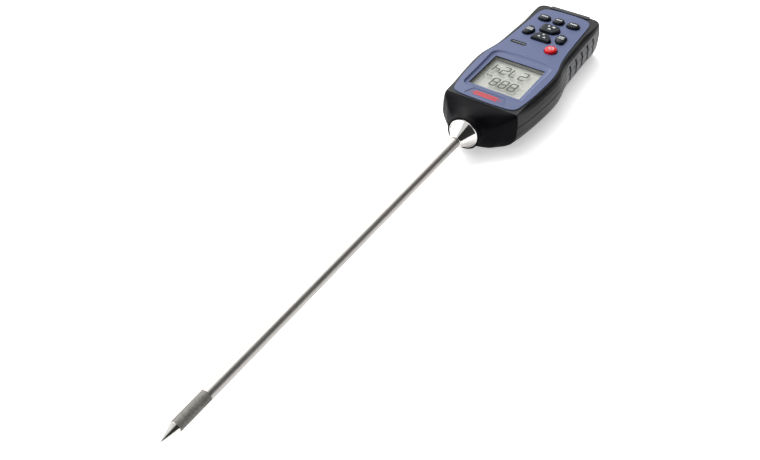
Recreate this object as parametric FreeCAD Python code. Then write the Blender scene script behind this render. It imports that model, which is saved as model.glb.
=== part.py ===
import FreeCAD, Part
import math
import os

# Grain moisture meter: a hand-held case with a display and eight keys, and a
# long stainless probe with a porous sensor cap on its far end.
# Millimetres. +Z up with the case lying on its flat back, +X across, the probe
# points to -Y and the handle's end is at +Y. The origin is at the middle of
# the bounding box, on the plane that the back rests on.

V = FreeCAD.Vector
os.makedirs("parts", exist_ok=True)

# ---- driving dimensions ------------------------------------------------
YS = 52.35              # y of the ferrule's small end (datum of the probe)
ZA = 17.5               # height of the probe's axis above the back
PROBE_R = 4.0           # outside radius of the probe
TUBE_LEN = 265.4        # tube in front of the ferrule
TUBE_BORE = 3.1         # radius of the tube's bore
NECK_R = 3.8            # tube inside the ferrule
SHOULDER = 0.6          # gap between the tube's shoulder and the ferrule
FILTER_R = 3.75         # the porous cap is a touch thinner than the tube
FILTER_LEN = 23.9       # porous cap
TIP_LEN = 10.9          # point
FERRULE_LEN = 13.1
FERRULE_R = 11.6
CASE_FRONT = 37.0       # joint between the front cap and the shells, from datum
CASE_REAR = 195.5       # rear end, from datum
SEAM_Z = 19.5           # parting plane of the two shells
TOP_Z = 30.3            # rim of the top shell
PLATE_TOP = 31.0        # faceplate
PLATE_T = 1.4
WALL = 2.2
WIN_X = 21.3            # half width of the window
WIN_Y0, WIN_Y1 = 56.95, 101.4
LENS_TOP = 28.8         # outer face of the window's lens
LENS_T = 0.8
GAP = 0.3               # clearance round pieces that move
KEY_TRAVEL = 0.8
KEY_TOP = 33.5          # crown of a key
DOOR_X = 17.0           # half width of the battery door
DOOR_TONGUE = 1.4       # width of the tongues that run in the back's grooves
DOOR_Y0 = 128.0
DOOR_T = 2.4
FLAP_X = 17.0           # half width of the rear flap
FLAP_Z0, FLAP_Z1 = 13.0, 31.0
FLAP_T = 1.9
BEAD_R = 1.25           # hinge bead of the flap


def P(x, y, z):
    """Point from datum coordinates (y counted from the ferrule's small end)."""
    return V(x, y + YS, z)


def box(x0, x1, y0, y1, z0, z1):
    return Part.makeBox(x1 - x0, y1 - y0, z1 - z0, P(x0, y0, z0))


def cyl_y(r, y0, y1, x=0.0, z=ZA):
    return Part.makeCylinder(r, y1 - y0, P(x, y0, z), V(0, 1, 0))


def cyl_z(r, z0, z1, x, y):
    return Part.makeCylinder(r, z1 - z0, P(x, y, z0), V(0, 0, 1))


def cone_y(r0, r1, y0, y1, x=0.0, z=ZA):
    return Part.makeCone(r0, r1, y1 - y0, P(x, y0, z), V(0, 1, 0))


def fuse(a, *bs):
    for b in bs:
        a = a.fuse(b)
    return a.removeSplitter()


def spline(pts, closed=False):
    c = Part.BSplineCurve()
    c.interpolate(pts, closed)
    return c.toShape()


def save(name, shape, group=False):
    """Write one node; a group holds several separate solids."""
    solids = shape.Solids
    if not group and len(solids) != 1:
        raise RuntimeError("%s has %d solids" % (name, len(solids)))
    out = solids[0] if len(solids) == 1 else Part.makeCompound(solids)
    if not out.isValid():
        raise RuntimeError("%s is not valid" % name)
    out.exportStep("parts/%s.step" % name)
    NODES[name] = out
    return out


NODES = {}

# ---- case outline at the parting plane: right half, front to rear --------
SEAM = [(31.0, 37.0), (32.6, 44.0), (33.9, 52.0), (35.4, 64.0), (36.4, 76.0),
        (37.0, 88.0), (36.9, 97.0), (36.0, 105.0), (34.4, 112.5), (33.0, 120.0),
        (32.2, 129.0), (31.8, 140.0), (31.4, 152.0), (31.0, 164.0),
        (30.6, 175.0), (30.2, 182.0), (29.6, 187.5), (28.5, 191.6),
        (26.0, 194.3), (21.5, 195.2), (14.0, 195.4), (7.0, 195.5), (0.0, 195.5)]
# (z, inset of the sides, inset of the rear end) up the outside of the case
LOWER = [(0.0, 10.5, 1.8), (0.5, 8.4, 1.0), (1.8, 5.9, 0.5), (4.2, 3.2, 0.2),
         (7.5, 1.2, 0.1), (11.0, 0.2, 0.0), (SEAM_Z, 0.0, 0.0)]
UPPER = [(SEAM_Z, 0.0, 0.0), (23.0, 0.6, 0.02), (26.5, 1.8, 0.06), (28.6, 3.1, 0.15),
         (29.7, 4.2, 0.4), (TOP_Z, 5.4, 0.9)]


def ease(y, upper):
    """Share of the inset that applies at station y: the ends are more upright."""
    if upper and y < 56.0:
        return 0.35 + 0.65 * max(0.0, (y - CASE_FRONT)) / (56.0 - CASE_FRONT)
    if y > 165.0:
        return 1.0 - (0.62 if upper else 0.55) * min(1.0, (y - 165.0) / 26.0)
    return 1.0


def section(z, d, e, extra=0.0, y_front=CASE_FRONT):
    """Closed outline at height z, inset by d at the sides and e at the rear."""
    k = (CASE_REAR - e - extra - y_front) / (CASE_REAR - CASE_FRONT)
    right = []
    for x, y in SEAM:
        f = ease(y, z > SEAM_Z)
        right.append((x - (d * f + extra) * min(1.0, x / 23.2),
                      y_front + (y - CASE_FRONT) * k))
    pts = [P(x, y, z) for x, y in right]
    pts += [P(-x, y, z) for x, y in reversed(right[:-1])]
    curve = spline(pts)
    line = Part.makeLine(pts[-1], pts[0])
    return Part.Wire([curve, line])


def stack(levels, extra=0.0, y_front=CASE_FRONT):
    wires = [section(z, d, e, extra, y_front) for z, d, e in levels]
    return Part.makeLoft(wires, True, True)


INNER_LOW = [(WALL, 6.4, 1.2), (3.4, 4.2, 0.6), (6.5, 1.8, 0.2), (11.0, 0.2, 0.0), (SEAM_Z + 0.01, 0.0, 0.0)]
INNER_UP = [(SEAM_Z - 0.01, 0.0, 0.0), (23.0, 0.6, 0.02), (26.5, 1.8, 0.06), (27.6, 2.5, 0.1)]
lower_out = stack(LOWER)
upper_out = stack(UPPER)
lower_in = stack(INNER_LOW, WALL, CASE_FRONT - 1)
upper_in = stack(INNER_UP, WALL, CASE_FRONT - 1)

# ---- faceplate outline ---------------------------------------------------
PLATE = [(0.0, 39.0), (12.0, 39.3), (20.0, 39.9), (24.2, 41.3), (26.3, 44.0),
         (27.4, 48.6), (28.4, 55.5), (29.3, 63.5), (30.0, 73.0), (30.5, 84.0),
         (30.6, 93.0), (30.1, 101.0), (28.9, 108.5), (27.3, 115.5),
         (26.1, 123.0), (25.1, 133.0), (24.4, 145.0), (23.8, 157.0),
         (23.3, 168.0), (22.9, 176.5), (22.0, 182.3), (19.6, 186.4),
         (15.0, 188.5), (8.0, 189.4), (0.0, 189.7)]


def plate_wire(z, d=0.0):
    yc = 114.0
    pts = []
    for x, y in PLATE:
        pts.append((x - d * min(1.0, x / 20.0), y + d * max(-1.0, min(1.0, (yc - y) / 55.0))))
    loop = [P(x, y, z) for x, y in pts] + [P(-x, y, z) for x, y in reversed(pts[1:-1])]
    return Part.Wire([spline(loop, True)])


def plate_prism(z0, z1, d=0.0):
    return Part.Face(plate_wire(z0, d)).extrude(V(0, 0, z1 - z0))


def poly_prism(pts, z0, z1, r=0.0):
    """Prism over a closed polygon; its upright corners rounded by r."""
    v = [P(x, y, z0) for x, y in pts]
    solid = Part.Face(Part.makePolygon(v + [v[0]])).extrude(V(0, 0, z1 - z0))
    if r > 0:
        up = [e for e in solid.Edges
              if abs(abs(e.tangentAt(e.FirstParameter).z) - 1.0) < 1e-6]
        solid = solid.makeFillet(r, up)
    return solid


def grow(pts, d):
    """Polygon grown by about d from its centroid."""
    cx = sum(p[0] for p in pts) / len(pts)
    cy = sum(p[1] for p in pts) / len(pts)
    out = []
    for x, y in pts:
        L = math.hypot(x - cx, y - cy)
        out.append((cx + (x - cx) * (L + d * 1.12) / L, cy + (y - cy) * (L + d * 1.12) / L))
    return out


# ---- keys: outlines on the faceplate ----------------------------------------
KEYS = {
    "key_up": ([(-9.6, 154.4), (-7.6, 151.2), (3.2, 151.2), (6.8, 155.6),
                (6.8, 158.2), (4.2, 163.3), (-7.6, 163.3), (-9.6, 160.6)], 1.4),
    "key_down": ([(-9.9, 137.2), (6.6, 137.2), (6.9, 140.6), (4.0, 145.6),
                  (0.4, 148.3), (-5.2, 148.3), (-9.3, 144.6)], 1.2),
    "key_left": ([(-19.6, 142.6), (-17.2, 140.6), (-13.8, 141.4), (-11.4, 145.4),
                  (-11.4, 149.8), (-13.6, 153.4), (-17.0, 154.4), (-19.3, 151.4)], 1.2),
    "key_right": ([(16.6, 142.8), (14.8, 140.8), (11.4, 141.4), (8.6, 145.2),
                   (7.9, 149.4), (9.4, 153.6), (12.6, 154.4), (16.3, 151.6)], 1.2),
}


def ellipse_pts(cx, cy, a, b, n=20, p=2.4):
    out = []
    for i in range(n):
        t = 2 * math.pi * i / n
        c, s = math.cos(t), math.sin(t)
        out.append((cx + a * math.copysign(abs(c) ** (2 / p), c),
                    cy + b * math.copysign(abs(s) ** (2 / p), s)))
    return out


ROUND_KEYS = {
    "key_power": (12.5, 128.8, 5.0, 5.4, 2.0),
    "key_row_left": (-13.4, 171.9, 5.2, 4.3, 2.5),
    "key_row_mid": (-0.9, 172.4, 4.6, 4.6, 2.4),
    "key_row_right": (12.0, 172.4, 5.4, 4.3, 2.5),
}


def round_key(spec, z0, z1, d=0.0):
    cx, cy, a, b, p = spec
    if p == 2.0 and abs(a - b) < 0.01:
        return cyl_z(a + d, z0, z1, cx, cy)
    pts = [P(x, y, z0) for x, y in ellipse_pts(cx, cy, a + d, b + d, 20, p)]
    return Part.Face(Part.Wire([spline(pts, True)])).extrude(V(0, 0, z1 - z0))


def key_prism(name, z0, z1, d=0.0):
    if name in KEYS:
        pts, r = KEYS[name]
        return poly_prism(grow(pts, d) if d else pts, z0, z1, r + max(d, 0) * 0.6)
    return round_key(ROUND_KEYS[name], z0, z1, d)


ALL_KEYS = list(KEYS) + list(ROUND_KEYS)
FLANGE_Z0, FLANGE_Z1 = 26.2, 27.1

for name in ALL_KEYS:
    body = key_prism(name, FLANGE_Z1, KEY_TOP)
    top = [e for e in body.Edges if abs(e.BoundBox.ZMin - KEY_TOP) < 1e-4 and abs(e.BoundBox.ZMax - KEY_TOP) < 1e-4]
    try:
        body = body.makeFillet(0.8, top)
    except Exception:
        body = body.makeChamfer(0.6, top)
    flange = key_prism(name, FLANGE_Z0, FLANGE_Z1, 0.55)
    save(name, fuse(body, flange))

# ---- screws --------------------------------------------------------------------
SCREWS = [(-25.0, 46.0), (25.0, 46.0), (-22.4, 178.5), (22.4, 178.5)]
BOSS_R = 3.0
screws = []
for x, y in SCREWS:
    head = cyl_z(2.4, 2.4, 4.2, x, y)
    drive = cyl_z(0.9, 2.3, 3.4, x, y)
    shank = cyl_z(1.25, 4.2, 24.5, x, y)
    screws.append(fuse(head, shank).cut(drive))
save("case_screws", Part.makeCompound(screws), group=True)

# ---- side grips: soft panels let into both sides of the handle ---------------------
GRIP_Y0, GRIP_Y1 = 113.0, 189.0
GRIP_T = 1.3
SLOT_W = 1.6
SLOTS = [(125.0, 128.8), (137.6, 141.2), (149.8, 153.0), (161.6, 164.4), (173.2, 175.8)]  # (upper, lower) end of each slot


def grip_zone(side, z0, z1, shrink=0.0):
    """Block that holds one grip panel, with a slanted front end."""
    a = GRIP_Y0 + shrink
    b = GRIP_Y1 - shrink
    pts = [(a + 7.0, z0 + shrink), (b - 5.0, z0 + shrink), (b, z0 + 5.0 + shrink),
           (b, z1 - 3.0 - shrink), (b - 3.0, z1 - shrink), (a + 10.0, z1 - shrink),
           (a, SEAM_Z + 1.5)]
    v = [P(20.0 * side, y, z) for y, z in pts]
    return Part.Face(Part.makePolygon(v + [v[0]])).extrude(V(22.0 * side, 0, 0))


GRIP_Z0, GRIP_Z1 = 5.2, 26.8
lower_layer = lower_out.cut(stack(LOWER, GRIP_T))
upper_layer = upper_out.cut(stack(UPPER, GRIP_T))
slots = {}
for side in (-1, 1):
    cuts = []
    for yu, yl in SLOTS:
        q = [(yu, 25.0), (yu + SLOT_W, 25.0), (yl + SLOT_W, 9.0), (yl, 9.0)]
        v = [P(20.0 if side > 0 else -40.0, y, z) for y, z in q]
        cuts.append(Part.Face(Part.makePolygon(v + [v[0]])).extrude(V(20.0, 0, 0)))
    slots[side] = Part.makeCompound(cuts)
halfspace_up = box(-60, 60, 0, 220, SEAM_Z, 60)
halfspace_dn = box(-60, 60, 0, 220, -20, SEAM_Z)
grip_pockets = {}
for side, word in ((-1, "left"), (1, "right")):
    zone = grip_zone(side, GRIP_Z0, GRIP_Z1)
    up = upper_layer.common(zone)
    dn = lower_layer.common(zone)
    grip_pockets[side] = (up, dn)
    inner_cut = [s for s in slots[side].Solids]
    gu, gd = up, dn
    thin_u = stack(UPPER, 0.7)
    thin_d = stack(LOWER, 0.7)
    for s in inner_cut:
        gu = gu.cut(s.cut(thin_u))
        gd = gd.cut(s.cut(thin_d))
    save("grip_upper_" + word, gu)
    save("grip_lower_" + word, gd)

# ---- rear flap and its recess ----------------------------------------------------------
HINGE_YC = CASE_REAR - BEAD_R
HINGE_Z = FLAP_Z0
flap = box(-FLAP_X, FLAP_X, CASE_REAR - 2.0, CASE_REAR, FLAP_Z0, FLAP_Z1)
top_lip = box(-FLAP_X, FLAP_X, CASE_REAR - 4.6, CASE_REAR, 30.1, FLAP_Z1)
flap = flap.fuse(top_lip)
bead = Part.makeCylinder(BEAD_R, 2 * FLAP_X, P(-FLAP_X, HINGE_YC, HINGE_Z), V(1, 0, 0))
flap = flap.common(box(-60, 60, 0, 220, FLAP_Z0, 60))
flap = fuse(flap, bead)
flap_edges = [e for e in flap.Edges
              if abs(e.BoundBox.ZMin - FLAP_Z1) < 1e-4 and abs(e.BoundBox.ZMax - FLAP_Z1) < 1e-4
              and e.BoundBox.YMin > YS + CASE_REAR - 0.2]
flap = flap.makeFillet(0.7, flap_edges)
save("port_flap", flap)
flap_recess = box(-FLAP_X - GAP, FLAP_X + GAP, CASE_REAR - 2.0 - GAP, CASE_REAR + 5, FLAP_Z0, 40)
flap_recess = flap_recess.fuse(box(-FLAP_X - GAP, FLAP_X + GAP, CASE_REAR - 4.6 - GAP, CASE_REAR + 5, 30.1 - GAP, 40))
flap_recess = flap_recess.fuse(
    Part.makeCylinder(BEAD_R + 0.06, 2 * FLAP_X + 2 * GAP, P(-FLAP_X - GAP, HINGE_YC, HINGE_Z), V(1, 0, 0)))
flap_recess = flap_recess.fuse(box(-FLAP_X - GAP, FLAP_X + GAP, HINGE_YC + 0.02, CASE_REAR + 5, HINGE_Z - BEAD_R - 0.3, HINGE_Z + 0.1))

# ---- top shell -------------------------------------------------------------------------
top = upper_out.cut(upper_in)
top = top.cut(plate_prism(PLATE_TOP - PLATE_T, 40.0, -0.12))
# rear wall is thicker where the flap is let in
rear_pad_u = box(-FLAP_X - 2.2, FLAP_X + 2.2, CASE_REAR - 5.4, CASE_REAR - 1.5, SEAM_Z, 27.8).common(upper_out)
top = top.fuse(rear_pad_u)
top = top.cut(flap_recess)
window = box(-WIN_X, WIN_X, WIN_Y0, WIN_Y1, 24.0, 40.0)
window = window.fuse(box(-WIN_X - 1.8, WIN_X + 1.8, WIN_Y0 - 2.1, WIN_Y1 + 2.1, 24.0, LENS_TOP))
top = top.cut(window)
for name in ALL_KEYS:
    top = top.cut(key_prism(name, 26.0, 40.0, GAP + 0.05))
usb_hole = box(-5.9, 5.9, CASE_REAR - 8.0, CASE_REAR + 1.0, 22.3, 26.9)
top = top.cut(usb_hole)
for x, y in SCREWS:
    boss = cyl_z(BOSS_R, SEAM_Z, 28.0, x, y).common(upper_out)
    top = top.fuse(boss).cut(cyl_z(1.25, SEAM_Z - 1, 24.5, x, y))
for side in (-1, 1):
    top = top.cut(grip_pockets[side][0])
save("top_shell", top.removeSplitter())

# ---- bottom shell ----------------------------------------------------------------------
bottom = lower_out.cut(lower_in)
bottom = bottom.fuse(box(-FLAP_X - 2.2, FLAP_X + 2.2, CASE_REAR - 5.4, CASE_REAR - 1.5, 3.0, SEAM_Z).common(lower_out))
# frame round the battery bay
bay = box(-DOOR_X - 3.2, DOOR_X + 3.2, DOOR_Y0 - 2.5, CASE_REAR - 3.5, 0.0, 4.8).common(lower_out)
bottom = bottom.fuse(bay)
for x, y in SCREWS:
    boss = cyl_z(BOSS_R + 0.6, 1.0, SEAM_Z, x, y).common(lower_out)
    bottom = bottom.fuse(boss)
    bottom = bottom.cut(cyl_z(2.4, -1, 4.2, x, y)).cut(cyl_z(1.25, 0, SEAM_Z + 1, x, y))
for x, y in ((-24.0, 60.0), (24.0, 60.0), (-21.5, 118.0), (21.5, 118.0)):
    bottom = bottom.fuse(cyl_z(2.0, 1.5, 21.0, x, y))
door_zone = box(-DOOR_X - GAP, DOOR_X + GAP, DOOR_Y0 - GAP, CASE_REAR + 5, -1.0, DOOR_T + GAP)
bottom = bottom.cut(door_zone)
groove_x = DOOR_X + DOOR_TONGUE + GAP
bottom = bottom.cut(box(-groove_x, groove_x, DOOR_Y0 + 1.7, CASE_REAR + 5, 0.9, 2.4 + GAP))
bottom = bottom.cut(box(-15.6, 15.6, 131.0, 186.4, -1.0, 6.0))
bottom = bottom.cut(flap_recess)
for side in (-1, 1):
    bottom = bottom.cut(grip_pockets[side][1])
save("bottom_shell", bottom.removeSplitter())

# ---- battery door: slides off the rear end ------------------------------------------------
door = lower_out.common(box(-DOOR_X, DOOR_X, DOOR_Y0, CASE_REAR + 5, -1.0, DOOR_T))
tongue_x = DOOR_X + DOOR_TONGUE
door = door.fuse(lower_out.common(box(-tongue_x, tongue_x, DOOR_Y0 + 2.0, 184.0, 1.2, 2.4)))
ribs = []
for i in range(5):
    ribs.append(box(-7.0, 7.0, 136.0 + 2.6 * i, 137.2 + 2.6 * i, -0.5, 0.5))
door = door.cut(Part.makeCompound(ribs))
save("battery_door", door.removeSplitter())

# ---- faceplate -------------------------------------------------------------------------------
plate = plate_prism(PLATE_TOP - PLATE_T, PLATE_TOP)
edge = [e for e in plate.Edges if abs(e.BoundBox.ZMin - PLATE_TOP) < 1e-4 and abs(e.BoundBox.ZMax - PLATE_TOP) < 1e-4]
plate = plate.makeFillet(0.45, edge)
plate = plate.cut(box(-WIN_X, WIN_X, WIN_Y0, WIN_Y1, 20, 40))
# shallow dished surround of the window, deepest at the window's edge
SURR = [(-23.9, 53.2), (23.9, 53.2), (24.5, 104.0), (21.0, 107.2), (13.9, 108.6),
        (0.0, 109.6), (-13.9, 108.6), (-21.0, 107.2), (-24.5, 104.0)]


def surround(z, k):
    cx, cy = 0.0, 79.2
    pts = []
    for x, y in SURR:
        tx = max(-WIN_X - 0.5, min(WIN_X + 0.5, x))
        ty = max(WIN_Y0 - 0.5, min(WIN_Y1 + 0.5, y))
        pts.append(P(x + (tx - x) * k, y + (ty - y) * k, z))
    return Part.makePolygon(pts + [pts[0]])


dish = Part.makeLoft([surround(PLATE_TOP - 0.75, 0.999), surround(PLATE_TOP + 0.001, 0.0)], True, True)
plate = plate.cut(dish)
# label field near the front edge and inlay pocket beside the power key
LABEL = [(-17.2, 41.6), (17.2, 41.6), (13.2, 50.8), (-13.2, 50.8)]
plate = plate.cut(poly_prism(LABEL, PLATE_TOP - 0.3, PLATE_TOP + 1))
INLAY = (-21.4, -7.9, 124.6, 128.7)
plate = plate.cut(poly_prism([(INLAY[0], INLAY[2]), (INLAY[1], INLAY[2]), (INLAY[1], INLAY[3]), (INLAY[0], INLAY[3])],
                             PLATE_TOP - 0.5, PLATE_TOP + 1, 1.6))
for name in ALL_KEYS:
    plate = plate.cut(key_prism(name, 26.0, 40.0, GAP))
save("faceplate", plate.removeSplitter())
save("label_inlay", poly_prism([(INLAY[0] + .05, INLAY[2] + .05), (INLAY[1] - .05, INLAY[2] + .05),
                                (INLAY[1] - .05, INLAY[3] - .05), (INLAY[0] + .05, INLAY[3] - .05)],
                               PLATE_TOP - 0.5, PLATE_TOP + 0.1, 1.55))

# ---- display stack ------------------------------------------------------------------------------
save("display_lens", box(-WIN_X - 1.1, WIN_X + 1.1, WIN_Y0 - 1.1, WIN_Y1 + 1.1, LENS_TOP - LENS_T, LENS_TOP))
LCD_TOP = LENS_TOP - LENS_T
save("lcd_panel", box(-WIN_X - 1.5, WIN_X + 1.5, WIN_Y0 - 1.8, WIN_Y1 + 1.8, LCD_TOP - 2.0, LCD_TOP))
frame_o = box(-25.6, 25.6, WIN_Y0 - 5.0, WIN_Y1 + 4.0, 22.6, 27.5)
frame = frame_o.cut(box(-WIN_X - 1.6, WIN_X + 1.6, WIN_Y0 - 1.9, WIN_Y1 + 1.9, LCD_TOP - 2.0, 28.0))
frame = frame.cut(box(-21.0, 21.0, WIN_Y0 + 2.2, WIN_Y1 - 2.2, 22.0, 28.0))
frame = frame.cut(box(-20.2, 20.2, WIN_Y0 - 1.2, WIN_Y0 + 1.0, 22.0, 28.0))
frame = frame.cut(box(-20.2, 20.2, WIN_Y1 - 1.0, WIN_Y1 + 1.2, 22.0, 28.0))
save("lcd_frame", frame)
save("backlight_panel", box(-20.8, 20.8, WIN_Y0 + 2.4, WIN_Y1 - 2.4, 22.6, LCD_TOP - 2.2))
save("zebra_connectors", Part.makeCompound([
    box(-20.0, 20.0, WIN_Y0 - 1.0, WIN_Y0 + 0.8, 22.6, LCD_TOP - 2.0),
    box(-20.0, 20.0, WIN_Y1 - 0.8, WIN_Y1 + 1.0, 22.6, LCD_TOP - 2.0)]), group=True)

# ---- main board and what is on it ------------------------------------------------------------------
PCB_Z0, PCB_Z1 = 21.0, 22.6
pcb = poly_prism([(-28.5, 49.5), (28.5, 49.5), (29.5, 104.0), (25.5, 114.0), (25.2, 184.0),
                  (-25.2, 184.0), (-25.5, 114.0), (-29.5, 104.0)], PCB_Z0, PCB_Z1)
for x, y in SCREWS:
    pcb = pcb.cut(cyl_z(BOSS_R + 0.5, 15, 30, x, y))
save("main_board", pcb)
domes = []
mat = poly_prism([(-22.6, 119.5), (20.8, 119.5), (20.8, 181.6), (-22.6, 181.6)], 24.2, 25.2, 2.0)
for x, y in SCREWS:
    mat = mat.cut(cyl_z(BOSS_R + 0.6, 20, 30, x, y))
centres = {n: (sum(p[0] for p in KEYS[n][0]) / len(KEYS[n][0]), sum(p[1] for p in KEYS[n][0]) / len(KEYS[n][0])) for n in KEYS}
centres.update({n: ROUND_KEYS[n][:2] for n in ROUND_KEYS})
for n in ALL_KEYS:
    x, y = centres[n]
    domes.append(Part.makeCone(2.6, 1.6, 0.5, P(x, y, PCB_Z1), V(0, 0, 1)))
    mat = mat.fuse(Part.makeCone(1.0, 1.6, 0.9, P(x, y, 23.3), V(0, 0, 1)))
feet = [box(-22.2, -20.9, 125, 160, PCB_Z1, 24.2), box(19.2, 20.5, 136, 160, PCB_Z1, 24.2),
        box(-12, 12, 178.6, 179.9, PCB_Z1, 24.2), box(-16, 4, 121, 122.3, PCB_Z1, 24.2)]
save("key_mat", fuse(mat, *feet))
save("dome_switches", Part.makeCompound(domes), group=True)
save("controller_chip", box(-12.0, 0.0, 84.0, 96.0, 19.4, PCB_Z0))
save("small_components", Part.makeCompound([
    box(8.0, 13.0, 88.0, 94.0, 19.5, PCB_Z0), box(8.0, 11.0, 98.0, 101.0, 20.1, PCB_Z0),
    box(-22.0, -16.0, 90.0, 95.0, 19.3, PCB_Z0), box(-20.0, -17.0, 99.0, 101.0, 20.2, PCB_Z0),
    box(16.0, 20.0, 98.0, 106.0, 19.0, PCB_Z0)]), group=True)
save("buzzer", cyl_z(6.0, 14.2, PCB_Z0, 17.5, 71.0).cut(cyl_z(1.0, 13, 15.2, 17.5, 71.0)))
usb = box(-4.5, 4.5, 183.6, CASE_REAR - 5.4, PCB_Z1, PCB_Z1 + 3.8)
usb = usb.cut(box(-3.9, 3.9, 185.0, 200.0, PCB_Z1 + 0.5, PCB_Z1 + 3.3))
save("usb_socket", usb)
save("board_header", box(-5.0, 5.0, 66.0, 73.0, 14.6, PCB_Z0).cut(box(-3.9, 3.9, 60.0, 71.6, 15.6, 19.6)))
save("lead_plug", box(-3.7, 3.7, 62.0, 71.4, 15.8, 19.4))

# ---- battery -----------------------------------------------------------------------------------------
bat = box(-13.1, 13.1, 137.0, 184.6, 3.0, 19.6)
ved = [e for e in bat.Edges if abs(abs(e.tangentAt(e.FirstParameter).y) - 1.0) < 1e-6]
bat = bat.makeFillet(2.2, ved)
bat = bat.fuse(cyl_y(2.9, 134.6, 137.0, -6.3, 11.3)).fuse(cyl_y(3.6, 134.6, 137.0, 6.3, 11.3))
save("battery", bat.removeSplitter())
tray = box(-15.4, 15.4, 131.6, 186.2, 4.8, 20.4).fuse(box(-17.6, 17.6, 129.6, 187.6, 4.8, 6.0)).cut(box(-14.1, 14.1, 133.0, 184.9, 0, 19.8)).removeSplitter()
tray = tray.cut(box(-8, 8, 150, 170, 19, 21))
save("battery_tray", tray)
snap = box(-11.5, 11.5, 133.1, 134.5, 6.4, 16.2)
save("battery_snap", snap)

# ---- probe ferrule and its fixing -----------------------------------------------------------------------
prof = [(NECK_R, 0.0), (4.7, 0.0), (4.7, 0.9), (5.2, 1.6), (FERRULE_R - 0.35, FERRULE_LEN - 0.9),
        (FERRULE_R, FERRULE_LEN - 0.5), (FERRULE_R, FERRULE_LEN + 0.3), (7.0, FERRULE_LEN + 0.3),
        (7.0, 29.5), (NECK_R, 29.5)]
loop = [V(r, y + YS, ZA) for r, y in prof]
ferrule = Part.Face(Part.makePolygon(loop + [loop[0]])).revolve(V(0, 0, ZA), V(0, 1, 0), 360)
ferrule = ferrule.Solids[0] if ferrule.Solids else ferrule
save("probe_ferrule", ferrule)
RING_Y = FERRULE_LEN + 0.3
oring = Part.makeTorus(8.6, 0.8, P(0, RING_Y + 0.8, ZA), V(0, 1, 0))
save("sealing_ring", oring)
nut = Part.makePolygon([P(10.2 * math.cos(math.pi / 3 * i), 25.0, ZA + 10.2 * math.sin(math.pi / 3 * i)) for i in range(7)])
nut = Part.Face(nut).extrude(V(0, 4.0, 0)).cut(cyl_y(7.0, 20, 35))
save("probe_nut", nut)

# ---- front cap: neck that grips the ferrule, chin with a scoop each side ------------------------------------
# right half of each cross section, bottom centre to top centre: (x, z)
def ring(r, n=15):
    return [(r * math.cos(math.radians(-90 + 180.0 * i / (n - 1))), ZA + r * math.sin(math.radians(-90 + 180.0 * i / (n - 1)))) for i in range(n)]


CAP = [
    (CASE_FRONT, [(0, 0.0), (11, 0.0), (20.5, 0.0), (22.6, 0.5), (25.1, 1.8), (27.8, 4.2), (29.8, 7.5), (30.8, 11.0), (31.0, 19.5), (30.8, 23.0), (30.4, 26.5), (29.9, 28.6), (29.1, 30.2), (14, 30.3), (0, 30.3)]),
    (33.5, [(0, 0.0), (10, 0.0), (18.4, 0.1), (20.4, 0.7), (22.8, 2.1), (25.2, 4.5), (27.0, 7.8), (27.9, 11.5), (28.2, 18.5), (28.1, 22.5), (27.8, 26.2), (27.0, 28.0), (24.8, 29.2), (12.5, 30.1), (0, 30.2)]),
    (30.3, [(0, 0.0), (9, 0.1), (16.4, 0.4), (18.4, 1.2), (20.7, 2.8), (22.8, 5.2), (24.2, 8.4), (24.9, 12.0), (25.2, 17.8), (25.1, 22.0), (24.8, 25.4), (23.8, 26.8), (20.5, 28.0), (11.5, 29.6), (0, 30.1)]),
    (26.5, [(0, 0.3), (7.5, 0.5), (13.5, 1.3), (15.8, 2.3), (18.0, 4.2), (19.8, 6.8), (21.0, 9.6), (21.6, 13.0), (21.8, 17.5), (21.7, 21.5), (21.2, 24.4), (19.6, 25.4), (15.4, 26.2), (9.6, 28.6), (0, 30.0)]),
    (22.5, [(0, 1.9), (5, 2.2), (9.2, 3.3), (11.2, 4.6), (13.2, 6.5), (14.8, 8.8), (15.8, 11.2), (16.2, 14.0), (16.4, 17.4), (16.2, 20.2), (15.6, 22.2), (14.0, 23.4), (12.0, 25.2), (7.4, 28.7), (0, 30.1)]),
    (19.0, [(0, 4.4), (3.8, 4.9), (7.0, 6.6), (8.7, 8.2), (10.2, 9.9), (11.3, 11.7), (12.1, 13.8), (12.5, 15.8), (12.6, 17.9), (12.3, 19.9), (11.7, 21.9), (10.7, 23.9), (9.0, 26.1), (5.2, 28.8), (0, 30.1)]),
    (15.5, ring(12.7)),
    (12.7, ring(13.2)),
]


def cap_wire(y, half, inset=0.0, yo=0.0):
    pts = list(half) + [(-x, z) for x, z in reversed(half[1:-1])]
    if inset:
        out = []
        for x, z in pts:
            dx, dz = x, z - 15.2
            L = math.hypot(dx, dz)
            k = max(0.0, (L - inset * 1.15) / L)
            out.append((dx * k, 15.2 + dz * k))
        pts = out
    return Part.Wire([spline([P(x, y + yo, z) for x, z in pts], True)])


cap = Part.makeLoft([cap_wire(y, h) for y, h in CAP], True, False)
cap = cap.common(box(-60, 60, 0, CASE_FRONT, 0.0, PLATE_TOP + 0.2))
hollow = Part.makeLoft([cap_wire(y, h, 2.8) for y, h in CAP[:5]], True, False)
hollow = hollow.cut(box(-60, 60, 0, 24.0, -5, 40))
cap = cap.cut(hollow)
cap = cap.cut(cyl_y(7.05, 5, 60)).cut(cyl_y(FERRULE_R + 0.05, 5, RING_Y)).cut(cyl_y(9.45, RING_Y - 1, RING_Y + 1.62))
cap = cap.fuse(box(-11.4, 11.4, 24.0, 25.0, 6.8, 28.2).cut(cyl_y(7.05, 5, 60)))
RIM = [(3.4, 4.2, 0.6), (6.5, 1.8, 0.2), (11.0, 0.2, 0.0), (SEAM_Z, 0.0, 0.0), (23.0, 0.6, 0.02), (26.5, 1.8, 0.06)]
rim = stack(RIM, WALL + 0.12, CASE_FRONT - 1.5)
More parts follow.
